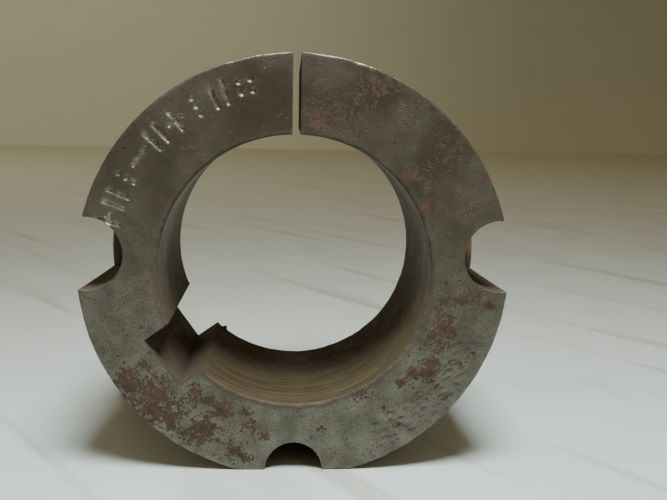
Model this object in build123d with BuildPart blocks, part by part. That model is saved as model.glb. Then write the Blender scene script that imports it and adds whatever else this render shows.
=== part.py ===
"""Split taper bush that locks a V-belt pulley to its shaft, with its two grub screws. Millimetres.

The bush is one slit ring with a conical outside. It is drawn up into the pulley's matching taper by two
grub screws, which stand half in the bush and half in the hub. Its bore then closes on the shaft.
Off the shaft it stands on the flat across its removal hole, and the screws lie behind it.

Frame: the origin is on the bore's axis, halfway along the bush. +Y runs along the bore from the large end
to the small end, +Z points to the slit, and +X is to the right as the large end is seen.
"""

import os
from math import radians, sqrt, tan

from build123d import *

# Ring
large_end_diameter = 69.85
bush_length = 31.75
taper_angle = 4.0  # of the outside, on each side of the axis
bore_diameter = 44.45
bore_edge_break = 0.2
rim_edge_break = 0.25
foot_flat_depth = 1.3  # at the large end, where the flat is widest

# Slit, which runs through the wall and along the whole bush
slit_width = 1.3

# Keyway, whose direction is counted round from the slit, anticlockwise as the large end is seen
key_width = 9.525
key_depth = 4.76  # of its side walls
key_angle_from_slit = 125.0

# Grub screws
screw_diameter = 11.11  # outside the thread
screw_length = 22.2
screw_thread_depth = 0.88  # left by the tapping drill
screw_end_chamfer = 0.9
socket_across_flats = 5.56
socket_depth = 6.35
screw_gap_behind_bush = 1.6
screw_axis_inside_rim = 2.7  # of the small end

# Half-holes in the large end, whose centres lie just inside the rim. The two plain ones hold the screws
# that draw the bush in, and the narrow one at the bottom is tapped for the screw that pushes it out.
screw_circle_inset = 1.32
screw_hole_angle_from_slit = 85.0
screw_hole_clearance = 0.37  # all round the thread
screw_stands_out = 0.4  # of the large end, when its plain end meets the floor of its hole
removal_hole_depth = 21.8
removal_hole_edge_break = 0.33
drill_point_angle = 118.0

# Worked out from the sizes above
taper_slope = tan(radians(taper_angle))
large_radius = large_end_diameter / 2
small_radius = large_radius - bush_length * taper_slope
bore_radius = bore_diameter / 2
large_end_y = -bush_length / 2
small_end_y = bush_length / 2
foot_z = foot_flat_depth - large_radius
screw_circle_radius = large_radius - screw_circle_inset
screw_hole_radius = screw_diameter / 2 + screw_hole_clearance
screw_hole_depth = screw_length - screw_stands_out
removal_hole_radius = screw_diameter / 2 - screw_thread_depth
key_floor_radius = sqrt(bore_radius**2 - (key_width / 2) ** 2) + key_depth
large_end = Plane.XZ.offset(-large_end_y)

os.makedirs("parts", exist_ok=True)


with BuildPart() as taper_bush:
    with BuildSketch(Plane.XY):
        with BuildLine():
            Polyline(
                (bore_radius, large_end_y),
                (large_radius, large_end_y),
                (small_radius, small_end_y),
                (bore_radius, small_end_y),
                close=True,
            )
        make_face()
    revolve(axis=Axis.Y)
    rims = taper_bush.edges().filter_by(GeomType.CIRCLE).sort_by(SortBy.RADIUS)
    chamfer(rims[:2], length=bore_edge_break)
    chamfer(rims[2:], length=rim_edge_break)

    with BuildSketch(large_end) as slit:
        Rectangle(slit_width, 2 * large_radius, align=(Align.CENTER, Align.MIN))
    extrude(amount=-bush_length, mode=Mode.SUBTRACT)

    with BuildSketch(large_end) as keyway:
        with Locations(Rotation(0, 0, 90 + key_angle_from_slit)):
            Rectangle(key_floor_radius, key_width, align=(Align.MIN, Align.CENTER))
    extrude(amount=-bush_length, mode=Mode.SUBTRACT)

    with Locations(large_end):
        with PolarLocations(
            screw_circle_radius,
            2,
            start_angle=90 - screw_hole_angle_from_slit,
            angular_range=2 * screw_hole_angle_from_slit,
            endpoint=True,
        ):
            Hole(screw_hole_radius, depth=screw_hole_depth)
        with Locations((0, -screw_circle_radius)):
            Hole(removal_hole_radius, depth=removal_hole_depth)

    drill_point_height = removal_hole_radius / tan(radians(drill_point_angle / 2))
    with Locations(
        Plane(origin=(0, large_end_y + removal_hole_depth, -screw_circle_radius), z_dir=(0, 1, 0))
    ):
        Cone(
            removal_hole_radius,
            0,
            drill_point_height,
            align=(Align.CENTER, Align.CENTER, Align.MIN),
            mode=Mode.SUBTRACT,
        )
    with Locations(Plane(origin=(0, large_end_y, -screw_circle_radius), z_dir=(0, 1, 0))):
        Cone(
            removal_hole_radius + removal_hole_edge_break,
            removal_hole_radius,
            removal_hole_edge_break,
            align=(Align.CENTER, Align.CENTER, Align.MIN),
            mode=Mode.SUBTRACT,
        )

    with BuildSketch(large_end) as foot_flat:
        with Locations((0, foot_z)):
            Rectangle(2 * large_radius, 2 * foot_flat_depth, align=(Align.CENTER, Align.MAX))
    extrude(amount=-bush_length, mode=Mode.SUBTRACT)
taper_bush.part.label = "taper_bush"
export_step(taper_bush.part, "parts/taper_bush.step")


for name, side in (("left_grub_screw", -1), ("right_grub_screw", 1)):
    plain_end = Plane(
        origin=(
            side * (small_radius - screw_axis_inside_rim),
            small_end_y + screw_gap_behind_bush,
            foot_z + screw_diameter / 2,
        ),
        x_dir=(1, 0, 0),
        z_dir=(0, 1, 0),
    )
    with BuildPart() as grub_screw:
        with BuildSketch(plain_end):
            Circle(screw_diameter / 2)
        extrude(amount=screw_length)
        chamfer(grub_screw.edges().filter_by(GeomType.CIRCLE), length=screw_end_chamfer)
        with BuildSketch(plain_end.offset(screw_length)):
            RegularPolygon(socket_across_flats / 2, 6, major_radius=False)
        extrude(amount=-socket_depth, mode=Mode.SUBTRACT)
    grub_screw.part.label = name
    export_step(grub_screw.part, f"parts/{name}.step")
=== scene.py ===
"""Split taper bush for a V-belt pulley, with its two grub screws. Metres.

+Y runs along the bore from the large end to the small end, and +Z points to the slit. The bush is drawn
again in finer steps than the frame holds, with rounded edges, pressed marks and real threads.
"""

import bmesh
import bpy
import numpy as np
from mathutils import Matrix, Vector


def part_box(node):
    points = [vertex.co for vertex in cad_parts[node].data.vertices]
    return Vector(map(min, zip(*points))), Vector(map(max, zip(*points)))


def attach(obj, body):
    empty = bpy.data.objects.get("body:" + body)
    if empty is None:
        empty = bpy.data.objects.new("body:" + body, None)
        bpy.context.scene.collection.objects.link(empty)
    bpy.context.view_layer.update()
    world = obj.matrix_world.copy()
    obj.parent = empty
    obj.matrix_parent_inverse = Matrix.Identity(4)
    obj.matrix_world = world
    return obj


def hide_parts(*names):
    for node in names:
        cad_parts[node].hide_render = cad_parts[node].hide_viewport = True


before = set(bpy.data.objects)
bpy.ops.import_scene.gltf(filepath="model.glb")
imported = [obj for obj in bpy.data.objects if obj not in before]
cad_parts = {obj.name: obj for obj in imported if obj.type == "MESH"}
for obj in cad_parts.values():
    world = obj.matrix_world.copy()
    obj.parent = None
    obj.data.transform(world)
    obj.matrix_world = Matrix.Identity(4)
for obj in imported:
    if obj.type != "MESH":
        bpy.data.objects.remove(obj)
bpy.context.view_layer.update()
bush_low, bush_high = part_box("taper_bush")

MM = 0.001

# Sizes in millimetres and angles in degrees, the same as the solids'. Angles run from +X towards +Z.
LARGE_RADIUS = 34.905  # the solid's, less what its broken edge takes off
TAPER_SLOPE = np.tan(np.radians(4.0))
BORE_RADIUS = 22.225
FRONT = bush_low.y / MM
BACK = bush_high.y / MM
FOOT_Z = bush_low.z / MM
SLIT_WIDTH = 1.3
KEY_WIDTH = 9.525
KEY_DEPTH = 4.76
KEY_ANGLE = 215.0
HOLE_CIRCLE = 33.605
SCREW_HOLE_RADIUS = 5.925
HOLE_DEPTH = 21.8
SCREW_HOLE_ANGLE = 5.0
LEFT_HOLE_ANGLE = -180.0 - SCREW_HOLE_ANGLE
REMOVAL_HOLE_ANGLE = -90.0
SCREW_RADIUS = 5.555
THREAD_PITCH = 1.814
THREAD_DEPTH = 0.88
SCREW_CHAMFER = 0.9
SOCKET_FLATS = 5.56
SOCKET_DEPTH = 6.35
BURR_ANGLE = 232.0
LIP_RADIUS = 4.74  # of the tapped half-hole's mouth, before its edge is rounded
LIP_DEPTH = 0.8
LINING = 0.35  # how far the cut thread's own mesh reaches into the bush's metal

# How far edges are rounded by wear and handling
RIM_EDGE = 0.28
BORE_EDGE = 0.5
CUT_EDGE = 0.11
SLIT_EDGE = 0.06
DEEPEST_CHIP = 0.72

# How the points of the two outlines are shared out
HOLE_POINTS = 44
REMOVAL_POINTS = 40
CORNER_POINTS = 3
KEY_SIDE_POINTS = 14
KEY_FLOOR_POINTS = 28
HOLE_FAN = 20.0  # half the part of the bore joined to a plain half-hole
REMOVAL_FAN = 16.0
FAN_GAP = 0.6
KEY_SIDE_FAN = 8.6  # just outside where the keyway's side walls would meet the rim
KEY_FLOOR_FAN = 8.2

# Pressed marks and scuffs on the large end
MARK_RADIUS = 30.7
GROOVE_HALF_WIDTH = 0.46
GROOVE_DEPTH = 0.30
# The band beside each groove is made bright: a painted highlight of the light caught by metal pushed up.
LIP_PLACE = 0.62  # of the metal pushed up beside a groove
LIP_WIDTH = 0.14
DENT_DEPTH = 0.19

# ---------------------------------------------------------------- shapes


def mesh_piece(name, points, faces, body, replaced=(), sharp=35.0):
    """Closed mesh from points in millimetres, riding on a body, with its faces turned outwards.

    Edges that turn by more than sharp degrees stay crisp, and large faces keep their flat shading beside
    rounded edges.
    """
    mesh = bpy.data.meshes.new(name)
    mesh.from_pydata((points * MM).tolist(), [], faces)
    shell = bmesh.new()
    shell.from_mesh(mesh)
    bmesh.ops.recalc_face_normals(shell, faces=shell.faces)
    shell.to_mesh(mesh)
    shell.free()
    mesh.polygons.foreach_set("use_smooth", np.ones(len(mesh.polygons), bool))
    mesh.set_sharp_from_angle(angle=np.radians(sharp))
    obj = bpy.data.objects.new(name, mesh)
    bpy.context.scene.collection.objects.link(obj)
    shading = obj.modifiers.new("even_shading", "WEIGHTED_NORMAL")
    shading.keep_sharp = True
    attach(obj, body)
    if replaced:
        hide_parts(*replaced)
    return obj


def point_values(obj, **values):
    """Numbers stored on a piece's points, each under its own name, for its material to read."""
    for name, value in values.items():
        layer = obj.data.attributes.new(name, "FLOAT", "POINT")
        layer.data.foreach_set("value", np.clip(value, 0, 1).astype(np.float32))


def smooth_step(low, high, value):
    """0 up to low and 1 from high on, with a smooth climb between them."""
    t = np.clip((value - low) / (high - low), 0, 1)
    return t * t * (3 - 2 * t)


def grid_quads(rows, columns, first=0, wrap=False, flip=False):
    """Quads of a grid of rows x columns points, closed round the columns if wrap is set."""
    i, j = np.meshgrid(np.arange(rows - 1), np.arange(columns if wrap else columns - 1), indexing="ij")
    k = (j + 1) % columns
    quads = np.stack([i * columns + j, i * columns + k, (i + 1) * columns + k, (i + 1) * columns + j], -1)
    quads = quads.reshape(-1, 4) + first
    return quads[:, ::-1] if flip else quads


def waves(x, y, z, seed, size):
    """Smooth noise between about -1 and 1: six sine waves in seeded directions, size millimetres long."""
    rng = np.random.default_rng(seed)
    total = np.zeros(np.broadcast(x, y, z).shape)
    for _ in range(6):
        d = rng.normal(size=3)
        d *= 2 * np.pi / (size * rng.uniform(0.6, 1.6) * np.linalg.norm(d))
        total += np.sin(d[0] * x + d[1] * y + d[2] * z + rng.uniform(0, 6.28))
    return total / 3.0


def cone_radius(y):
    """Radius of the tapered outside: the large end's, less the slope times the depth."""
    return LARGE_RADIUS - TAPER_SLOPE * (y - FRONT)


def outside(angle, y):
    """Distance of the outside from the axis: the cone, or the foot flat where that lies nearer.

    The two are joined by a soft minimum, so the edge between them is slightly rounded.
    """
    down = np.maximum(-np.sin(angle), 1e-3)
    flat = np.where(np.sin(angle) < -0.5, -FOOT_Z / down, 99.0)
    soft, near = 0.06, 34.0
    return -soft * np.log(np.exp(-(cone_radius(y) - near) / soft) + np.exp(-(flat - near) / soft)) + near


def hole_reach(centre_angle, radius, y):
    """Half-angle at which a hole of that radius on the screw circle cuts the outside: circle meets circle."""
    rim = outside(np.radians(centre_angle) + radius / HOLE_CIRCLE, y)
    cosine = (rim**2 + HOLE_CIRCLE**2 - radius**2) / (2 * rim * HOLE_CIRCLE)
    return np.arccos(np.clip(cosine, -1, 1))


def hole_wall(centre_angle, radius, y, u, plain):
    """Half-hole's wall, u from 0 to 1: an arc about the hole's centre, from one cut of the rim to the other.

    Past the hole's floor, where plain is 1, the same points lie on the outside instead.
    """
    reach = hole_reach(centre_angle, radius, y)
    middle = np.radians(centre_angle)
    edge = middle + reach
    rim = outside(edge, y)
    centre = np.array([HOLE_CIRCLE * np.cos(middle), HOLE_CIRCLE * np.sin(middle)])
    start = np.arctan2(rim * np.sin(edge) - centre[1], rim * np.cos(edge) - centre[0])
    sweep = 2 * ((middle + np.pi - start) % (2 * np.pi))
    turn = start + sweep * u
    x = centre[0] + radius * np.cos(turn)
    z = centre[1] + radius * np.sin(turn)
    angle = middle + reach * (1 - 2 * u)
    on_rim = outside(angle, y)
    x = x + (on_rim * np.cos(angle) - x) * plain
    z = z + (on_rim * np.sin(angle) - z) * plain
    return x, z


def corner(before, at, after, count):
    """Rounded corner: a quadratic curve from before to after, drawn towards the corner point."""
    t = np.linspace(0, 1, count + 2)[1:-1]
    return before * (1 - t) ** 2 + 2 * at * t * (1 - t) + after * t**2


def spread(count, dense_ends=0.0):
    """Numbers from 0 to 1, evenly spaced or drawn towards both ends."""
    u = np.linspace(0, 1, count)
    return u - dense_ends * np.sin(2 * np.pi * u) / (2 * np.pi)


def chains(y, plain):
    """Outer and inner outline of the bush at depths y, each clockwise from the slit as the large end is seen.

    y and plain are columns. plain is 0 where the half-holes are cut and 1 past their floors. Both outlines
    have the same number of points, so that the end faces and the slit's walls join them point to point.
    """
    y = np.asarray(y, float).reshape(-1, 1)
    plain = np.asarray(plain, float).reshape(-1, 1)
    half_slit = SLIT_WIDTH / 2
    holes = [
        (SCREW_HOLE_ANGLE, SCREW_HOLE_RADIUS, HOLE_POINTS, HOLE_FAN),
        (REMOVAL_HOLE_ANGLE, removal_radius(y), REMOVAL_POINTS, REMOVAL_FAN),
        (LEFT_HOLE_ANGLE, SCREW_HOLE_RADIUS, HOLE_POINTS, HOLE_FAN),
    ]
    key_middle = KEY_ANGLE - 360.0
    key_along = np.array([np.cos(np.radians(key_middle)), np.sin(np.radians(key_middle))])
    mouth = np.sqrt(BORE_RADIUS**2 - (KEY_WIDTH / 2) ** 2)
    floor = mouth + KEY_DEPTH
    key_half = np.degrees(np.arcsin(KEY_WIDTH / 2 / BORE_RADIUS))
    key_start, key_end = key_middle + key_half, key_middle - key_half
    outer, inner = ([], [], []), ([], [], [])

    def extend(chain, x, z, edge):
        """More points at the end of a chain, and how far the edge at them is rounded."""
        chain[0].append(np.broadcast_to(x, (len(y), x.shape[-1])))
        chain[1].append(np.broadcast_to(z, (len(y), z.shape[-1])))
        chain[2].append(np.full(x.shape[-1], edge))

    def on_outside(angle):
        """Points of the outside at an angle in radians, one for each depth."""
        return outside(angle, y) * np.cos(angle), outside(angle, y) * np.sin(angle)

    def rim(start, end, count, ends=0.5):
        """Outer chain along the rim, from one angle in radians to another."""
        extend(outer, *on_outside(start + (end - start) * spread(count, ends)), RIM_EDGE)

    def bore(start, end, count):
        """Inner chain along the bore, from one angle in degrees to another."""
        angle = np.radians(start) + np.radians(end - start) * spread(count, 0.3)[None, :]
        extend(inner, BORE_RADIUS * np.cos(angle), BORE_RADIUS * np.sin(angle), BORE_EDGE)

    def key_points(along, across):
        """Inner chain through points given by their reach along the keyway and their place across it."""
        x = key_along[0] * along - key_along[1] * across
        z = key_along[1] * along + key_along[0] * across
        extend(inner, x[None, :], z[None, :], CUT_EDGE)

    def hole(index):
        """Outer chain round a half-hole, with a rounded corner at each side, and the bore opposite it."""
        middle, radius, count, fan = holes[index]
        u = np.linspace(0.014, 0.986, count)[None, :]
        x, z = hole_wall(middle, radius, y, u, plain)
        reach = hole_reach(middle, radius, y)
        first, last = on_outside(ends[index][0]), on_outside(ends[index][1])
        first_peak, last_peak = on_outside(np.radians(middle) + reach), on_outside(np.radians(middle) - reach)
        walls = (x, z)
        opening = [corner(first[k], first_peak[k], walls[k][:, :1], CORNER_POINTS) for k in (0, 1)]
        closing = [corner(walls[k][:, -1:], last_peak[k], last[k], CORNER_POINTS) for k in (0, 1)]
        for part in (opening, walls, closing):
            extend(outer, *part, CUT_EDGE)
        bore(middle + fan, middle - fan, count + 2 * CORNER_POINTS)

    slit_outer = np.pi / 2 - np.arcsin(half_slit / outside(np.pi / 2, y))
    slit_inner = 90 - np.degrees(np.arcsin(half_slit / BORE_RADIUS))
    clear = 0.22 / LARGE_RADIUS
    ends = []
    for middle, radius, _, _ in holes:
        reach = hole_reach(middle, radius, y)
        ends.append((np.radians(middle) + reach + clear, np.radians(middle) - reach - clear))

    rim(slit_outer, ends[0][0], 120, 0.0)
    bore(slit_inner, SCREW_HOLE_ANGLE + HOLE_FAN + FAN_GAP, 120)
    hole(0)
    rim(ends[0][1], ends[1][0], 130)
    bore(SCREW_HOLE_ANGLE - HOLE_FAN - FAN_GAP, REMOVAL_HOLE_ANGLE + REMOVAL_FAN + FAN_GAP, 130)
    hole(1)
    rim(ends[1][1], np.radians(key_start + 1.5), 60)
    bore(REMOVAL_HOLE_ANGLE - REMOVAL_FAN - FAN_GAP, key_start + 0.4, 60)
    rim(np.radians(key_start + 1.0), np.radians(key_middle + KEY_SIDE_FAN), KEY_SIDE_POINTS, 0.0)
    rim(np.radians(key_middle + KEY_FLOOR_FAN), np.radians(key_middle - KEY_FLOOR_FAN), KEY_FLOOR_POINTS, 0.0)
    rim(np.radians(key_middle - KEY_SIDE_FAN), np.radians(key_end - 1.0), KEY_SIDE_POINTS, 0.0)
    side_reach = mouth + (floor - mouth) * spread(KEY_SIDE_POINTS, 0.5)
    floor_across = (1 - 2 * spread(KEY_FLOOR_POINTS + 2, 0.3)[1:-1]) * KEY_WIDTH / 2
    key_points(side_reach, KEY_WIDTH / 2)
    key_points(floor, floor_across)
    key_points(side_reach[::-1], -KEY_WIDTH / 2)
    rim(np.radians(key_end - 1.5), ends[2][0], 24)
    bore(key_end - 0.4, LEFT_HOLE_ANGLE + HOLE_FAN + FAN_GAP, 24)
    hole(2)
    rim(ends[2][1], -np.pi - slit_outer, 250, 0.0)
    bore(LEFT_HOLE_ANGLE - HOLE_FAN - FAN_GAP, -180 - slit_inner, 250)
    ox, oz, ix, iz = (np.concatenate(part, 1) for part in (*outer[:2], *inner[:2]))
    return ox, oz, ix, iz, np.concatenate(outer[2]), np.concatenate(inner[2])


def removal_radius(y):
    """Radius cut for the tapped half-hole: a plain lip at its mouth, and behind it the thread's outside."""
    return np.where(y - FRONT < LIP_DEPTH + 0.01, LIP_RADIUS, SCREW_RADIUS + 0.02)


def closed_loop(y, plain, across):
    """Whole outline at each depth: outer chain, slit's left wall, inner chain back, slit's right wall.

    The last two values are the outer chain's length, and how far the edge at each point is rounded.
    """
    ox, oz, ix, iz, outer_edge, inner_edge = chains(y, plain)
    t = across[1:-1]
    left = [a[:, -1:] + (b[:, -1:] - a[:, -1:]) * t for a, b in ((ox, ix), (oz, iz))]
    right = [b[:, :1] + (a[:, :1] - b[:, :1]) * (1 - t[::-1]) for a, b in ((ox, ix), (oz, iz))]
    x = np.concatenate([ox, left[0], ix[:, ::-1], right[0]], 1)
    z = np.concatenate([oz, left[1], iz[:, ::-1], right[1]], 1)
    wall = np.full(len(t), SLIT_EDGE)
    edge = np.concatenate([outer_edge, wall, inner_edge[::-1], wall])
    narrowest = np.min([np.roll(edge, k) for k in range(-4, 5)], 0)
    eased = np.mean([np.roll(narrowest, k) for k in range(-3, 4)], 0)
    return x, z, ox.shape[1], eased


def outward_normals(x, z):
    """Normals of a closed clockwise outline: its direction at each point, turned a quarter turn left."""
    dx = np.roll(x, -1, 1) - np.roll(x, 1, 1)
    dz = np.roll(z, -1, 1) - np.roll(z, 1, 1)
    length = np.hypot(dx, dz) + 1e-9
    return -dz / length, dx / length


# Marks pressed into the large end along an arc: plain shapes, each with its place in degrees
MARKS = [
    (172.0, "tally"),
    (164.8, "plus"),
    (157.6, "tally"),
    (150.4, "dots"),
    (143.0, "dash"),
    (135.4, "tally"),
    (128.0, "plus"),
    (120.6, "dots"),
    (113.2, "tally"),
    (105.0, "punches"),
]


def stroke_distance(u, v, ax, ay, bx, by):
    """Distance of a point from the straight stroke between two ends."""
    dx, dy = bx - ax, by - ay
    t = np.clip(((u - ax) * dx + (v - ay) * dy) / (dx * dx + dy * dy), 0, 1)
    return np.hypot(u - ax - t * dx, v - ay - t * dy)


def mark_distance(kind, u, v):
    """Distance from the nearest stroke of one pressed mark, about 4 mm high, u along it and v outwards."""
    if kind == "plus":
        return np.minimum(stroke_distance(u, v, 0, -1.7, 0, 1.7), stroke_distance(u, v, -1.2, 0, 1.2, 0))
    if kind == "tally":
        return stroke_distance(np.abs(u), v, 0.95, -1.7, 0.95, 1.7)
    if kind == "dots":
        return np.minimum(np.hypot(u, np.abs(v) - 1.4), np.hypot(u, v)) - 0.1
    if kind == "dash":
        return stroke_distance(u, v, -1.7, 0, 1.7, 0)
    return np.hypot(np.abs(u) - 0.9, np.abs(v) - 0.9) - 0.1


def pressed(x, z):
    """Depth pressed into the large end, and where there is groove, lip and dent, from 0 to 1.

    A groove with a rounded floor runs along each stroke, with a band beside it, where metal was pushed up,
    that is made bright as a painted highlight. Shallow dents lie at the lower right, where the wave noise is
    above its middle.
    """
    angle = np.degrees(np.arctan2(z, x)) % 360
    radius = np.hypot(x, z)
    nearest = np.full(x.shape, 9.0)
    for place, kind in MARKS:
        u = -np.radians(angle - place) * MARK_RADIUS
        v = radius - MARK_RADIUS
        near = (np.abs(u) < 4) & (np.abs(v) < 4)
        nearest = np.minimum(nearest, np.where(near, mark_distance(kind, u, v), 9.0))
    worn = 0.8 + 0.2 * waves(x, 0, z, 5, 8)
    groove = np.clip(1 - (nearest / GROOVE_HALF_WIDTH) ** 2, 0, 1) * worn
    lip = np.exp(-(((nearest - LIP_PLACE) / LIP_WIDTH) ** 2)) * worn
    scuffed = smooth_step(292, 300, angle) * (1 - smooth_step(338, 346, angle))
    scuffed *= smooth_step(27.5, 29, radius)
    scuffed *= 1 - smooth_step(33, 34, radius)
    dents = scuffed * np.clip(waves(x, 0, z, 21, 1.5) + 0.4 * waves(x, 0, z, 22, 0.9) - 0.15, 0, 1)
    return GROOVE_DEPTH * groove + DENT_DEPTH * dents, groove, lip, dents


def make_bush():
    """The bush as one closed surface.

    Each row is the closed outline at one depth. The first and last rows follow a quarter circle in from
    the end faces, so every edge is rounded by an amount that varies along it as wear does. The large end is a
    grid stretched between the outer and inner outlines, and the small end is one strip between them.
    """
    edge_steps = np.radians(np.linspace(0, 90, 4))
    across = np.concatenate([np.linspace(0, 0.11, 4), np.linspace(0.13, 0.60, 38), np.linspace(0.64, 1, 8)])
    floor_y = FRONT + HOLE_DEPTH
    body_y = np.concatenate(
        [
            FRONT + np.array([LIP_DEPTH, LIP_DEPTH + 0.1, 4.0, 9.0, 14.0, 18.0]),
            floor_y - np.array([0.3, 0.03]),
            floor_y + np.array([0.0, 0.008, 0.016, 0.024, 0.05, 0.3]),
            np.array([BACK - 4.0, BACK - 0.8]),
        ]
    )
    body_plain = np.concatenate([np.zeros(8), np.array([0.02, 0.35, 0.7, 0.98, 1.0, 1.0]), np.ones(2)])
    x, z, count, _ = closed_loop(body_y, body_plain, across)
    y = np.broadcast_to(body_y[:, None], x.shape)
    loop = x.shape[1]

    def end_rows(end_y, inwards, plain):
        """Rows round the edges of one end face. inwards is the direction from that face into the metal."""
        ex, ez, _, edge = closed_loop([end_y], [plain], across)
        nx, nz = outward_normals(ex, ez)
        angle = np.degrees(np.arctan2(ez, ex)) % 360
        on_rim = np.hypot(ex, ez) > 33.0
        wear = 1 + 0.35 * waves(ex, 0, ez, 11, 5) + 0.2 * waves(ex, 0, ez, 12, 1.7)
        chipped = smooth_step(282, 292, angle) * (1 - smooth_step(322, 330, angle)) * on_rim * (edge > 0.2)
        chips = 1.6 * waves(ex, 0, ez, 13, 1.5) + 0.6 * waves(ex, 0, ez, 14, 3)
        wear = wear + chipped * np.clip(chips, 0, 1.4)
        wear = np.where(edge < 0.2, np.clip(wear, 0.6, 1.0), wear)
        round_off = np.clip(edge * wear, SLIT_EDGE, DEEPEST_CHIP)
        sine, cosine = np.sin(edge_steps)[:, None], np.cos(edge_steps)[:, None]
        rx = ex - nx * round_off * (1 - sine)
        rz = ez - nz * round_off * (1 - sine)
        ry = end_y + inwards * round_off * (1 - cosine)
        if inwards < 0:
            in_bore = np.hypot(ex, ez) < BORE_RADIUS + 0.275
            burr = 0.7 * np.exp(-(((angle - BURR_ANGLE) / 0.9) ** 2)) * in_bore
            rx = rx - burr * ex / BORE_RADIUS * sine
            rz = rz - burr * ez / BORE_RADIUS * sine
        return rx, ry, rz

    fx, fy, fz = end_rows(FRONT, 1, 0.0)
    bx, by, bz = end_rows(BACK, -1, 1.0)
    x = np.concatenate([fx, x, bx[::-1]])
    y = np.concatenate([fy, y, by[::-1]])
    z = np.concatenate([fz, z, bz[::-1]])
    rows = x.shape[0]
    side = np.stack([x, y, z], -1).reshape(-1, 3)
    quads = [grid_quads(rows, loop, wrap=True)]
    rounded = np.zeros((rows, loop))
    rounded[:4] = np.array([0.35, 1, 1, 0.5])[:, None]
    rounded[-4:] = rounded[:4][::-1]

    # Large end: rows from the outer chain to the inner one, closed at both sides by the slit's walls
    wall = len(across) - 2
    outer, left = np.arange(count), count + np.arange(wall)
    inner = count + wall + np.arange(count)[::-1]
    right = 2 * count + wall + np.arange(wall)[::-1]
    face = side[outer][None] + (side[inner] - side[outer])[None] * across[1:-1][:, None, None]
    face = face[:, 1:-1].reshape(-1, 3)
    depth, groove, lip, dents = pressed(face[:, 0], face[:, 2])
    face[:, 1] += np.maximum(depth, 0)
    middle = len(side) + np.arange(len(face)).reshape(wall, count - 2)
    between_chains = np.concatenate([right[:, None], middle, left[:, None]], 1)
    index = np.concatenate([outer[None], between_chains, inner[None]])
    face_quads = np.stack([index[:-1, :-1], index[1:, :-1], index[1:, 1:], index[:-1, 1:]], -1)
    quads.append(face_quads.reshape(-1, 4))

    # Small end: one face on each rung, and one more with the slit wall's points at each side
    last = (rows - 1) * loop
    quads.append(last + np.stack([outer[1:-2], outer[2:-1], inner[2:-1], inner[1:-2]], -1))
    sides = [
        (last + np.concatenate([[outer[1], inner[1], inner[0]], right[::-1], [outer[0]]])).tolist(),
        (last + np.concatenate([[outer[-2], outer[-1]], left, [inner[-1], inner[-2]]])).tolist(),
    ]
    points = np.concatenate([side, face])
    faces = np.concatenate(quads).tolist() + sides
    obj = mesh_piece("taper_bush_casting", points, faces, "bush", ["taper_bush"])
    marked = [np.concatenate([np.zeros(len(side)), value]) for value in (groove, lip, dents)]
    finish_masks(obj, points, *marked, np.concatenate([rounded.ravel(), np.zeros(len(face))]))
    return obj


# Rust on the large end: each patch's middle across and up, its half-width and half-height, and its density
RUST = [
    (5.0, 25.0, 4.6, 2.4, 0.9), (4.0, 30.0, 1.6, 1.4, 0.5), (13.0, 30.5, 3.2, 2.2, 0.75),
    (9.0, 28.0, 3.0, 1.6, 0.5), (17.0, 25.0, 2.2, 2.2, 0.75), (22.0, 27.0, 2.2, 2.4, 0.7),
    (25.5, 20.0, 3.8, 4.2, 0.55), (18.5, 16.0, 1.6, 1.4, 0.85), (21.0, 14.0, 1.1, 1.0, 0.7),
    (22.0, 11.0, 2.1, 1.5, 0.9), (28.0, 11.0, 2.8, 2.4, 0.6), (30.5, 15.5, 1.4, 1.7, 0.8),
    (24.5, 6.5, 1.0, 1.0, 0.5), (25.5, 0.5, 1.0, 1.2, 0.55), (24.5, -1.5, 0.9, 0.8, 0.6),
    (28.0, -4.0, 2.5, 1.5, 0.9), (24.5, -4.5, 1.5, 1.0, 0.8), (32.0, -5.0, 1.2, 1.2, 0.8),
    (24.5, -9.5, 2.1, 3.6, 0.95), (22.5, -11.0, 1.4, 1.3, 0.8), (22.5, -16.0, 1.7, 2.8, 1.0),
    (19.5, -17.0, 1.2, 1.5, 0.85), (18.0, -18.5, 1.2, 0.9, 0.8), (11.0, -20.5, 2.0, 1.2, 0.75),
    (1.0, -23.0, 1.1, 0.8, 0.7), (15.0, -22.5, 0.5, 1.0, 0.8), (27.0, -15.0, 1.4, 0.6, 0.8),
    (23.5, -19.0, 0.8, 0.5, 0.8), (25.5, -21.0, 0.7, 0.6, 0.8), (4.5, -26.5, 0.8, 0.6, 0.7),
    (17.5, -25.5, 1.4, 0.5, 0.6), (-27.0, -19.0, 2.6, 3.2, 0.95), (-23.0, -22.0, 3.6, 4.4, 1.0),
    (-20.5, -25.0, 3.4, 2.6, 0.9), (-16.0, -27.0, 3.0, 2.4, 0.9), (-14.5, -26.5, 2.1, 2.3, 0.95),
    (-16.0, -20.5, 1.8, 1.6, 0.85), (-14.0, -21.5, 1.2, 1.0, 0.8), (-12.0, -23.0, 1.9, 2.0, 0.9),
    (-8.0, -23.5, 1.2, 0.9, 0.85), (-7.0, -25.5, 1.5, 1.2, 0.85), (-5.0, -27.5, 1.2, 1.0, 0.75),
    (-10.0, -30.5, 1.5, 1.3, 0.85), (-8.0, -31.5, 1.4, 0.9, 0.8), (-24.5, -15.5, 1.7, 1.6, 0.6),
    (-21.0, -17.5, 2.4, 1.8, 0.5), (-25.0, -9.0, 0.35, 0.3, 0.9), (-19.0, 22.5, 2.4, 0.9, 0.42),
    (-17.0, 20.0, 0.8, 0.6, 0.5), (-10.5, 22.5, 0.5, 0.4, 0.85), (-4.0, 33.0, 1.4, 1.0, 0.5),
    (-13.5, 24.5, 0.5, 0.4, 0.7), (-12.0, -28.5, 5.0, 3.0, 0.45), (-18.0, -22.5, 5.0, 4.0, 0.45),
]


def from_hole(x, z, angle):
    """Distance of points from the axis of the hole at that angle."""
    return np.hypot(x - HOLE_CIRCLE * np.cos(np.radians(angle)), z - HOLE_CIRCLE * np.sin(np.radians(angle)))


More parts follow.
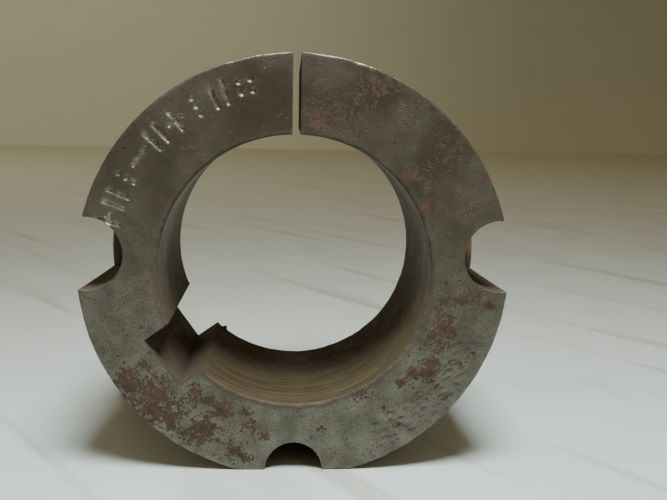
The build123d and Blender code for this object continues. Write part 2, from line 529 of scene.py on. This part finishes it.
def finish_masks(obj, points, groove, lip, dents, rounded):
    """Where the bush is rusted, dirty, worn bright or painted bright as highlight, painted as lit, and bored,
    as numbers from 0 to 1 on its points.

    A rust patch's density falls off from its middle as a bell. Dirt lies in the keyway, the half-holes, the
    slit and the far half of the bore. The bore's front edge is darker. Bright metal shows along rounded
    edges.
    Painted highlight brightens the marks, the bands beside them and a short stretch of the top right rim, and
    painted light the upper wall of the right half-hole.
    """
    x, y, z = points.T
    radius = np.hypot(x, z)
    angle = np.degrees(np.arctan2(z, x)) % 360
    depth = y - FRONT
    on_face = 1 - smooth_step(0.3, 1.0, depth)
    inside = smooth_step(0.05, 0.5, depth)
    rim = smooth_step(33.9, 34.6, radius)
    rust = np.zeros(len(x))
    for across, up, half_width, half_height, density in RUST:
        away = ((x - across) / half_width) ** 2 + ((z - up) / half_height) ** 2
        rust = np.maximum(rust, density * np.exp(-0.8 * away))
    rust *= on_face
    left_rim = smooth_step(132, 142, angle) * (1 - smooth_step(176, 182, angle)) * rim
    rust = np.maximum(rust, 0.42 * left_rim)
    blooms = smooth_step(0.15, 0.95, waves(x, y, z, 31, 16) + 0.3 * waves(x, y, z, 32, 5))
    rust = np.maximum(rust, 0.55 * blooms * (1 - on_face))
    bored = 1 - smooth_step(BORE_RADIUS + 0.04, BORE_RADIUS + 0.45, radius)
    rust = rust * (1 - 0.6 * bored)
    off_axis = from_hole(x, z, SCREW_HOLE_ANGLE)
    # Painted light: the upper wall of the right half-hole is marked to be painted a lighter yellow-brown, as
    # where it is lit, and to carry less dirt.
    yellowed = (1 - smooth_step(SCREW_HOLE_RADIUS + 0.02, SCREW_HOLE_RADIUS + 0.25, off_axis)) * inside
    yellowed *= smooth_step(-1.5, 1.0, z)

    along = x * np.cos(np.radians(KEY_ANGLE)) + z * np.sin(np.radians(KEY_ANGLE))
    aside = -x * np.sin(np.radians(KEY_ANGLE)) + z * np.cos(np.radians(KEY_ANGLE))
    in_key = smooth_step(21.3, 22.3, along) * (np.abs(aside) < KEY_WIDTH / 2 + 0.03) * (along < 27) * inside
    dirt = 0.8 * in_key
    holes = (
        (SCREW_HOLE_ANGLE, SCREW_HOLE_RADIUS),
        (LEFT_HOLE_ANGLE, SCREW_HOLE_RADIUS),
        (REMOVAL_HOLE_ANGLE, 5.6),
    )
    for middle, size in holes:
        on_wall = 1 - smooth_step(size + 0.02, size + 0.25, from_hole(x, z, middle))
        dirt = np.maximum(dirt, 0.8 * on_wall * inside)
    dirt = dirt * (1 - 0.75 * yellowed)
    # The bore's front edge is darker and duller, with less bright edge wear.
    dark_bore_mouth = (1 - smooth_step(BORE_RADIUS + 0.5, BORE_RADIUS + 1.0, radius)) * on_face
    dirt = np.maximum(dirt, 0.9 * dark_bore_mouth)
    lower = 1 - smooth_step(-16, 8, z)
    far = smooth_step(9, 17, depth)
    dirt = np.maximum(dirt, bored * (far * (0.35 + 0.6 * lower) + 0.25 * (1 - lower) * inside * (x > 0)))
    dirt = np.maximum(dirt, 0.85 * (np.abs(x) < SLIT_WIDTH / 2 + 0.01) * (z > 20) * inside)
    dirt = np.maximum(dirt, 0.6 * dents)
    uneven = 0.55 + 0.45 * waves(x, y, z, 41, 3.5)
    # Painted highlight: a short stretch of the top right rim is made bright, as if it caught the lamp, and is
    # stored with the wear.
    painted_glint = smooth_step(66, 68, angle) * (1 - smooth_step(73, 75, angle)) * rim
    edge_wear = rounded * uneven * (0.17 - 0.14 * np.maximum(bored, dark_bore_mouth))
    # Painted highlight: the marks' grooves and the bands beside them are made bright, standing in for the
    # light their walls catch.
    wear = np.maximum(edge_wear, np.maximum(0.15 * lip, 0.55 * groove))
    wear = np.maximum(wear, rounded * painted_glint)
    point_values(obj, rust=rust, dirt=dirt, wear=wear, bored=bored, yellowed=yellowed)


def thread_profile(turns):
    """Height of a thread's ridge, 0 to 1, against turns: flat root, two straight flanks and flat crest."""
    ridge = 1 - np.abs(2 * (turns % 1) - 1)
    return np.clip((ridge - 0.14) / 0.74, 0, 1)


def make_tapping():
    """Thread cut in the bottom half-hole, as a closed lining of its wall.

    Its inner surface lies on a circle about the hole's axis, whose radius is the screw's outside less the
    ridge's height, and the ridge climbs by the pitch in each turn. Its outer surface lies inside the metal.
    """
    rows, columns = 170, 44
    sunk = 0.02
    depth = np.linspace(LIP_DEPTH - 0.15, HOLE_DEPTH + sunk, rows)[:, None]
    u = np.linspace(0.03, 0.97, columns)[None, :]
    y = FRONT + depth
    ridge = thread_profile(depth / THREAD_PITCH + u / 2)
    inner = SCREW_RADIUS - THREAD_DEPTH * ridge
    inner = np.where(depth < LIP_DEPTH + sunk, SCREW_RADIUS - sunk, inner)
    ix, iz = hole_wall(REMOVAL_HOLE_ANGLE, inner, y, u, 0.0)
    outer = np.full_like(inner, SCREW_RADIUS + LINING)
    ox, oz = hole_wall(REMOVAL_HOLE_ANGLE, outer, y, 0.02 + 0.96 * u, 0.0)
    y = np.broadcast_to(y, ix.shape)
    x = np.concatenate([ix, ox[:, ::-1]], 1)
    z = np.concatenate([iz, oz[:, ::-1]], 1)
    points = np.stack([x, np.concatenate([y, y], 1), z], -1).reshape(-1, 3)
    loop = 2 * columns
    j = np.arange(columns - 1)
    cap = np.stack([j, j + 1, loop - 2 - j, loop - 1 - j], -1)
    faces = np.concatenate([grid_quads(rows, loop, wrap=True), cap, cap + (rows - 1) * loop])
    return mesh_piece("removal_hole_thread", points, faces.tolist(), "bush")


def make_screw(name, node, body):
    """Grub screw: rows of 96 points about its axis, closed by a point at each end.

    Along the outside the radius is the least of the thread's and the two end chamfers'. The plain end is a
    shallow dish. At the other end the rows turn in to a hexagon, whose reach from the axis is half its width
    across flats over the cosine of the angle from the nearest flat's middle, and run down to a drill cone.
    """
    low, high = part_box(node)
    low, high = np.array(low) / MM, np.array(high) / MM
    centre_x, centre_z = (low[0] + high[0]) / 2, (low[2] + high[2]) / 2
    start, length = low[1], high[1] - low[1]
    outer = (high[0] - low[0]) / 2 - 0.005
    columns = 96
    turn = np.linspace(0, 2 * np.pi, columns, endpoint=False)[None, :]
    flat = np.ones_like(turn)
    end_radius = outer - SCREW_CHAMFER
    hexagon = SOCKET_FLATS / 2 / np.cos((turn % (np.pi / 3)) - np.pi / 6)

    end_flat = end_radius - 0.12
    dish_depth = 0.3
    dish = np.array([1.2, 2.6, 3.6, end_flat])[:, None]
    dish_y = dish_depth * np.clip(1 - dish / end_flat, 0, 1)
    along = np.concatenate([[0.06, 0.2], np.linspace(0.4, length - 0.4, 176), [length - 0.2, length - 0.06]])
    along = along[:, None]
    thread = outer - THREAD_DEPTH * (1 - thread_profile(along / THREAD_PITCH + turn / (2 * np.pi)))
    taper = end_radius + 1.0 * np.minimum(along, length - along)
    side = np.minimum(thread, taper)
    socket_end = length - SOCKET_DEPTH
    drilled = np.array([2.4, 1.2])[:, None]
    bands = [
        (dish, dish_y),
        (side, along),
        (end_flat, length),
        (hexagon + 0.25, length),
        (hexagon + 0.02, length - 0.22),
        (hexagon, length - SOCKET_DEPTH / 2),
        (hexagon, socket_end),
        (drilled, socket_end - 0.25 * (2.8 - drilled)),
    ]
    r, y = (np.concatenate([band[k] * flat for band in bands]) for k in (0, 1))
    rows = len(r)
    ring = np.stack([centre_x + r * np.cos(turn), start + y, centre_z + r * np.sin(turn)], -1).reshape(-1, 3)
    poles = [[centre_x, start + dish_depth, centre_z], [centre_x, start + socket_end - 0.75, centre_z]]
    points = np.concatenate([ring, poles])
    j = np.arange(columns)
    k = (j + 1) % columns
    first, last = len(ring), (rows - 1) * columns
    poles_at = np.full_like(j, first), np.full_like(j, first + 1)
    fans = [np.stack([k, j, poles_at[0]], -1), np.stack([last + j, last + k, poles_at[1]], -1)]
    faces = grid_quads(rows, columns, wrap=True).tolist() + np.concatenate(fans).tolist()
    obj = mesh_piece(name, points, faces, body, [node])
    crest = np.where(r > outer - 0.12, 1.0, 0.0).ravel()
    rust = 0.2 * smooth_step(0, 1, waves(*points.T, 51, 6))
    point_values(obj, wear=np.concatenate([crest, [0, 0]]), rust=rust)
    return obj


# ---------------------------------------------------------------- finishes


def add(tree, kind, inputs=None, **settings):
    """A node with its settings, and its inputs given as values or as other nodes' outputs."""
    made = tree.nodes.new(kind)
    for name, value in settings.items():
        setattr(made, name, value)
    for name, value in (inputs or {}).items():
        if isinstance(value, bpy.types.NodeSocket):
            tree.links.new(value, made.inputs[name])
        else:
            made.inputs[name].default_value = value
    return made


def maths(tree, operation, *values):
    """Result of a sum or comparison of two values, each a number or another node's output."""
    return add(tree, "ShaderNodeMath", dict(enumerate(values)), operation=operation).outputs[0]


def product(tree, first, second):
    """Two values multiplied."""
    return maths(tree, "MULTIPLY", first, second)


def blend(tree, factor, first, second):
    """Two colours mixed by a factor. Sockets 6 and 7 of the node are its colours, and output 2 its result."""
    inputs = {0: factor, 6: first, 7: second}
    return add(tree, "ShaderNodeMix", inputs, data_type="RGBA").outputs[2]


def between(tree, value, low, high, to_low=0.0, to_high=1.0):
    """A value taken from one range to another, with smooth ends."""
    inputs = {"Value": value, "From Min": low, "From Max": high, "To Min": to_low, "To Max": to_high}
    return add(tree, "ShaderNodeMapRange", inputs, interpolation_type="SMOOTHSTEP").outputs[0]


def noise(tree, place, scale, detail=3.0, rough=0.55):
    """Cloudy pattern from 0 to 1 at a place, with that many cycles a metre."""
    inputs = {"Vector": place, "Scale": scale, "Detail": detail, "Roughness": rough}
    return add(tree, "ShaderNodeTexNoise", inputs).outputs[0]


def object_place(tree):
    """Each point's own place in the object, in metres."""
    return add(tree, "ShaderNodeTexCoord").outputs["Object"]


def stored(tree, name):
    """A number kept on the piece's points."""
    return add(tree, "ShaderNodeAttribute", attribute_name=name).outputs["Fac"]


def new_group(name, inputs, outputs):
    """Node group with named sockets. inputs gives each one's starting value, outputs each one's kind."""
    group = bpy.data.node_groups.new(name, "ShaderNodeTree")
    for label, value in inputs.items():
        socket = group.interface.new_socket(label, in_out="INPUT", socket_type="NodeSocketFloat")
        socket.default_value = value
    for label, kind in outputs.items():
        group.interface.new_socket(label, in_out="OUTPUT", socket_type=kind)
    return group, group.nodes.new("NodeGroupInput").outputs, group.nodes.new("NodeGroupOutput")


def make_grain():
    """Fine grain of a cut metal surface: cloudy shade, small dark pits, and a height for bump."""
    kinds = {"Shade": "NodeSocketFloat", "Pits": "NodeSocketFloat", "Height": "NodeSocketFloat"}
    g, given, out = new_group("metal_grain", {"Scale": 1.0}, kinds)
    here = object_place(g)
    cloud = noise(g, here, product(g, given["Scale"], 260.0), 4.0, 0.6)
    fine = noise(g, here, product(g, given["Scale"], 3600.0), 3.0, 0.7)
    pit = noise(g, here, product(g, given["Scale"], 1500.0), 1.0, 0.5)
    shade = maths(g, "ADD", product(g, cloud, 0.45), product(g, fine, 0.55))
    pits = between(g, pit, 0.70, 0.78)
    g.links.new(between(g, shade, 0.36, 0.64), out.inputs["Shade"])
    g.links.new(pits, out.inputs["Pits"])
    g.links.new(maths(g, "SUBTRACT", fine, product(g, pits, 0.8)), out.inputs["Height"])
    return g


def make_rusting():
    """Rust broken into ragged spots: where density and two noises together pass a limit, with its colours."""
    kinds = {"Mask": "NodeSocketFloat", "Colour": "NodeSocketColor", "Height": "NodeSocketFloat"}
    g, given, out = new_group("rust_spots", {"Density": 0.0, "Scale": 1.0}, kinds)
    here = object_place(g)
    broad = noise(g, here, product(g, given["Scale"], 620.0), 3.0, 0.6)
    fine = noise(g, here, product(g, given["Scale"], 2100.0), 2.0, 0.6)
    ragged = maths(g, "ADD", product(g, broad, 1.9), product(g, fine, 2.1))
    total = maths(g, "ADD", maths(g, "SUBTRACT", ragged, 2.0), given["Density"])
    mask = between(g, total, 0.47, 0.62)
    tone = noise(g, here, 900.0, 3.0, 0.7)
    dark = blend(g, between(g, tone, 0.35, 0.62), (0.024, 0.011, 0.006, 1), (0.056, 0.024, 0.012, 1))
    orange = between(g, noise(g, here, 170.0, 2.0, 0.5), 0.56, 0.68)
    colour = blend(g, product(g, orange, 0.6), dark, (0.074, 0.038, 0.014, 1))
    g.links.new(mask, out.inputs["Mask"])
    g.links.new(colour, out.inputs["Colour"])
    g.links.new(product(g, mask, fine), out.inputs["Height"])
    return g


GRAIN = make_grain()
RUSTING = make_rusting()


def new_material(name):
    """A material, its node tree and its shader."""
    material = bpy.data.materials.new(name)
    material.use_nodes = True
    return material, material.node_tree, material.node_tree.nodes["Principled BSDF"]


def place_group(tree, group, inputs=None):
    """Outputs of a node group placed in a material."""
    return add(tree, "ShaderNodeGroup", inputs, node_tree=group).outputs


def connect(tree, shader, colour, roughness, metallic, height, distance, strength=1.0):
    """The worked-out values to the shader, with height as bump over a distance in metres."""
    inputs = {"Height": height, "Distance": distance, "Strength": strength}
    bump = add(tree, "ShaderNodeBump", inputs).outputs[0]
    found = {"Base Color": colour, "Roughness": roughness, "Metallic": metallic, "Normal": bump}
    for name, value in found.items():
        if value is not None:
            tree.links.new(value, shader.inputs[name])


def machined_iron():
    """Dull olive-grey iron, painted darker towards the top as shade, a tan bore with turning lines, brown
    dirt, rust spots, bright edges with painted highlights, and painted light in the right half-hole.
    """
    material, t, shader = new_material("machined_iron")
    here = object_place(t)
    grain = place_group(t, GRAIN)
    iron = blend(t, grain["Shade"], (0.084, 0.079, 0.063, 1), (0.180, 0.170, 0.143, 1))
    # Painted shade: a cloudy dark stain, made stronger towards the top so the upper face is darker as if less
    # lit. It is partly stain and partly painted shade.
    cloudy = noise(t, here, 75.0, 3.0, 0.6)
    height_up = add(t, "ShaderNodeSeparateXYZ", {"Vector": here}).outputs["Z"]
    painted_top_shade = between(t, height_up, -0.03, 0.03, 0.1, 0.8)
    stain_and_top_shade = product(t, between(t, cloudy, 0.3, 0.66, 0.35, 1.0), painted_top_shade)
    iron = blend(t, stain_and_top_shade, iron, (0.046, 0.041, 0.025, 1))
    iron = blend(t, product(t, grain["Pits"], 0.75), iron, (0.022, 0.018, 0.013, 1))

    # Bore: lines run round it, so the pattern changes quickly along the axis and slowly across
    stretched = add(t, "ShaderNodeMapping", {"Vector": here, "Scale": (0.045, 1.0, 0.045)}).outputs[0]
    lines = noise(t, stretched, 1500.0, 4.0, 0.65)
    tan = blend(t, between(t, lines, 0.35, 0.65), (0.050, 0.037, 0.020, 1), (0.105, 0.084, 0.048, 1))
    tan = blend(t, between(t, grain["Shade"], 0.55, 1.0, 0.0, 0.35), tan, (0.17, 0.14, 0.08, 1))
    bored = stored(t, "bored")
    colour = blend(t, bored, iron, tan)
    # Painted light on the upper wall of the right half-hole: a lighter yellow-brown, as where it is lit.
    hole_light_mix = product(t, stored(t, "yellowed"), between(t, grain["Shade"], 0.0, 1.0, 0.55, 1.0))
    colour = blend(t, hole_light_mix, colour, (0.27, 0.19, 0.065, 1))

    dirt_noise = noise(t, here, 420.0, 4.0, 0.65)
    dirt = product(t, stored(t, "dirt"), between(t, dirt_noise, 0.25, 0.6, 0.55, 1.0))
    colour = blend(t, dirt, colour, (0.036, 0.023, 0.012, 1))

    rust = place_group(t, RUSTING, {"Density": stored(t, "rust")})
    rusty = product(t, rust["Mask"], maths(t, "SUBTRACT", 1.0, product(t, dirt, 0.5)))
    colour = blend(t, product(t, rusty, 0.92), colour, rust["Colour"])

    # Bright worn metal on the edges. On the marks and a short stretch of the top right rim, the same
    # brightening is a painted highlight.
    broken = between(t, noise(t, here, 900.0, 3.0, 0.7), 0.42, 0.62)
    wear = product(t, product(t, stored(t, "wear"), broken), maths(t, "SUBTRACT", 1.0, rusty))
    colour = blend(t, product(t, wear, 0.8), colour, (0.50, 0.49, 0.44, 1))

    dull = maths(t, "MAXIMUM", rusty, dirt)
    metallic = maths(t, "SUBTRACT", between(t, dull, 0.0, 1.0, 0.82, 0.05), product(t, bored, 0.35))
    roughness = maths(t, "ADD", between(t, grain["Shade"], 0.0, 1.0, 0.50, 0.40), product(t, dull, 0.38))
    roughness = maths(t, "SUBTRACT", roughness, product(t, wear, 0.12))
    height = maths(t, "ADD", product(t, grain["Height"], 0.6), product(t, rust["Height"], 0.3))
    height = maths(t, "ADD", height, product(t, product(t, lines, bored), 1.2))
    connect(t, shader, colour, roughness, metallic, height, 0.00012, 0.7)
    return material


def oily_thread():
    """Dark brown cut thread with old oil in it, and duller rust on its crests."""
    material, t, shader = new_material("oily_thread")
    grain = place_group(t, GRAIN, {"Scale": 1.3})
    rust = place_group(t, RUSTING, {"Density": 0.12, "Scale": 1.4})
    colour = blend(t, grain["Shade"], (0.022, 0.016, 0.010, 1), (0.060, 0.048, 0.033, 1))
    colour = blend(t, rust["Mask"], colour, rust["Colour"])
    metallic = between(t, rust["Mask"], 0.0, 1.0, 0.6, 0.05)
    roughness = between(t, grain["Shade"], 0.0, 1.0, 0.36, 0.55)
    connect(t, shader, colour, roughness, metallic, grain["Height"], 0.00006, 0.6)
    return material


def black_steel():
    """Blackened steel with an oily sheen, rubbed to bare metal along the thread's crests."""
    material, t, shader = new_material("black_steel")
    here = object_place(t)
    grain = place_group(t, GRAIN, {"Scale": 1.6})
    rust = place_group(t, RUSTING, {"Density": stored(t, "rust"), "Scale": 1.5})
    colour = blend(t, grain["Shade"], (0.016, 0.016, 0.018, 1), (0.042, 0.041, 0.042, 1))
    rubbed = between(t, noise(t, here, 700.0, 4.0, 0.65), 0.45, 0.66)
    rubbed = product(t, rubbed, stored(t, "wear"))
    colour = blend(t, rubbed, colour, (0.36, 0.35, 0.33, 1))
    colour = blend(t, rust["Mask"], colour, rust["Colour"])
    metallic = between(t, rust["Mask"], 0.0, 1.0, 0.9, 0.05)
    roughness = between(t, grain["Shade"], 0.0, 1.0, 0.30, 0.42)
    roughness = maths(t, "ADD", roughness, product(t, rust["Mask"], 0.4))
    connect(t, shader, colour, roughness, metallic, grain["Height"], 0.00005, 0.5)
    return material


bush = make_bush()
bush.data.materials.append(machined_iron())
tapping = make_tapping()
tapping.data.materials.append(oily_thread())
steel = black_steel()
for side in ("left", "right"):
    screw = make_screw(f"{side}_threaded_screw", f"{side}_grub_screw", f"{side}_screw")
    screw.data.materials.append(steel)

# ---------------------------------------------------------------- stand, light and camera

scene = bpy.context.scene

# In metres
TABLE_END = 0.965  # far edge of the table, along +Y
WALL_Y = TABLE_END + 0.25
TABLE_Z = FOOT_Z * MM - 0.00002  # just under the foot flat
STAGE_HALF = 3.0
STREAK_TURN = (0, 0, -0.93)


def staged_plane(name, corners, material):
    """Flat sheet between four corners, in metres, which isn't part of the object."""
    mesh = bpy.data.meshes.new(name)
    mesh.from_pydata(corners, [], [(0, 1, 2, 3)])
    mesh.materials.append(material)
    obj = bpy.data.objects.new(name, mesh)
    scene.collection.objects.link(obj)


def pale_table():
    """Pale table top: bluish white nearby, warmer and darker far off as painted light falloff, with faint
    long stains.
    """
    material, t, shader = new_material("pale_table")
    here = object_place(t)
    far = add(t, "ShaderNodeSeparateXYZ", {"Vector": here}).outputs["Y"]
    # Painted light falloff: the colour runs from bluish white near the lamp to darker and warmer further off.
    colour = blend(t, between(t, far, -0.08, 0.22), (0.53, 0.62, 0.61, 1), (0.41, 0.45, 0.41, 1))
    colour = blend(t, between(t, far, 0.1, 0.9), colour, (0.31, 0.31, 0.215, 1))
    narrow = {"Vector": here, "Rotation": STREAK_TURN, "Scale": (0.16, 0.012, 1)}
    streaks = noise(t, add(t, "ShaderNodeMapping", narrow, vector_type="TEXTURE").outputs[0], 1.0, 3.0, 0.5)
    broad = {"Vector": here, "Rotation": STREAK_TURN, "Scale": (0.12, 0.05, 1)}
    patches = noise(t, add(t, "ShaderNodeMapping", broad, vector_type="TEXTURE").outputs[0], 1.0, 4.0, 0.6)
    streaked = between(t, streaks, 0.56, 0.72, 0.0, 0.85)
    stain = maths(t, "MAXIMUM", streaked, between(t, patches, 0.54, 0.75, 0.0, 0.5))
    colour = blend(t, stain, colour, (0.33, 0.34, 0.27, 1))
    roughness = between(t, noise(t, here, 40.0), 0.3, 0.7, 0.45, 0.6)
    connect(t, shader, colour, roughness, None, noise(t, here, 900.0), 0.00002)
    return material


def plain_wall():
    """Olive-beige wall, lighter on the left, with a soft change of tone on the right."""
    material, t, shader = new_material("plain_wall")
    here = object_place(t)
    across = add(t, "ShaderNodeSeparateXYZ", {"Vector": here}).outputs["X"]
    colour = blend(t, between(t, across, -0.1, 0.42), (0.355, 0.385, 0.305, 1), (0.25, 0.275, 0.205, 1))
    roughness = between(t, noise(t, here, 30.0), 0.3, 0.7, 0.8, 0.95)
    connect(t, shader, colour, roughness, None, noise(t, here, 200.0), 0.0001)
    return material


table_corners = [(-1, -STAGE_HALF), (1, -STAGE_HALF), (1, TABLE_END), (-1, TABLE_END)]
staged_plane("table_top", [(side * STAGE_HALF, y, TABLE_Z) for side, y in table_corners], pale_table())
wall_corners = [(-1, -1.0), (1, -1.0), (1, 2.5), (-1, 2.5)]
staged_plane("backdrop", [(side * STAGE_HALF, WALL_Y, z) for side, z in wall_corners], plain_wall())

world = bpy.data.worlds.new("room")
scene.world = world
world.use_nodes = True
room = world.node_tree.nodes["Background"].inputs
room["Color"].default_value = (1.0, 0.72, 0.46, 1)
room["Strength"].default_value = 0.41


def soft_light(name, place, aim, size, power, colour):
    """Square area light at place, turned to aim, in metres and watts."""
    data = bpy.data.lights.new(name, "AREA")
    data.energy, data.size, data.color = power, size, colour
    lamp = bpy.data.objects.new(name, data)
    lamp.location = place
    lamp.rotation_euler = (Vector(aim) - Vector(place)).to_track_quat("-Z", "Y").to_euler()
    scene.collection.objects.link(lamp)


OVERHEAD_COLOUR = (0.96, 1.0, 0.99)
WALL_COLOUR = (1.0, 0.97, 0.84)
soft_light("overhead_softbox", (0.015, -0.076, 0.212), (0, 0, -0.03), 0.08, 1.36, OVERHEAD_COLOUR)
soft_light("wall_light", (-0.5, 0.35, 0.6), (-0.35, 1.2, 0.42), 0.5, 5, WALL_COLOUR)


def aimed_camera(place, yaw, pitch, roll, lens):
    """Camera at place in millimetres, with a lens in millimetres for a picture 36 wide.

    yaw turns it right, pitch tips it down and roll turns it about its own axis, in degrees.
    """
    yaw, pitch, roll = np.radians([yaw, pitch, roll])
    ahead = np.array([np.sin(yaw) * np.cos(pitch), np.cos(yaw) * np.cos(pitch), -np.sin(pitch)])
    right = np.array([np.cos(yaw), -np.sin(yaw), 0.0])
    up = np.cross(right, ahead)
    r = right * np.cos(roll) + up * np.sin(roll)
    u = -right * np.sin(roll) + up * np.cos(roll)
    data = bpy.data.cameras.new("camera")
    data.sensor_width = 36.0
    data.lens = lens
    data.clip_start = 0.005
    camera = bpy.data.objects.new("camera", data)
    turned = Matrix.Identity(4)
    for i in range(3):
        turned[i] = r[i], u[i], -ahead[i], place[i] * MM
    camera.matrix_world = turned
    scene.collection.objects.link(camera)
    scene.camera = camera


aimed_camera((-1.336, FRONT - 136.27, 27.39), yaw=3.13, pitch=9.77, roll=1.02, lens=46.3844)
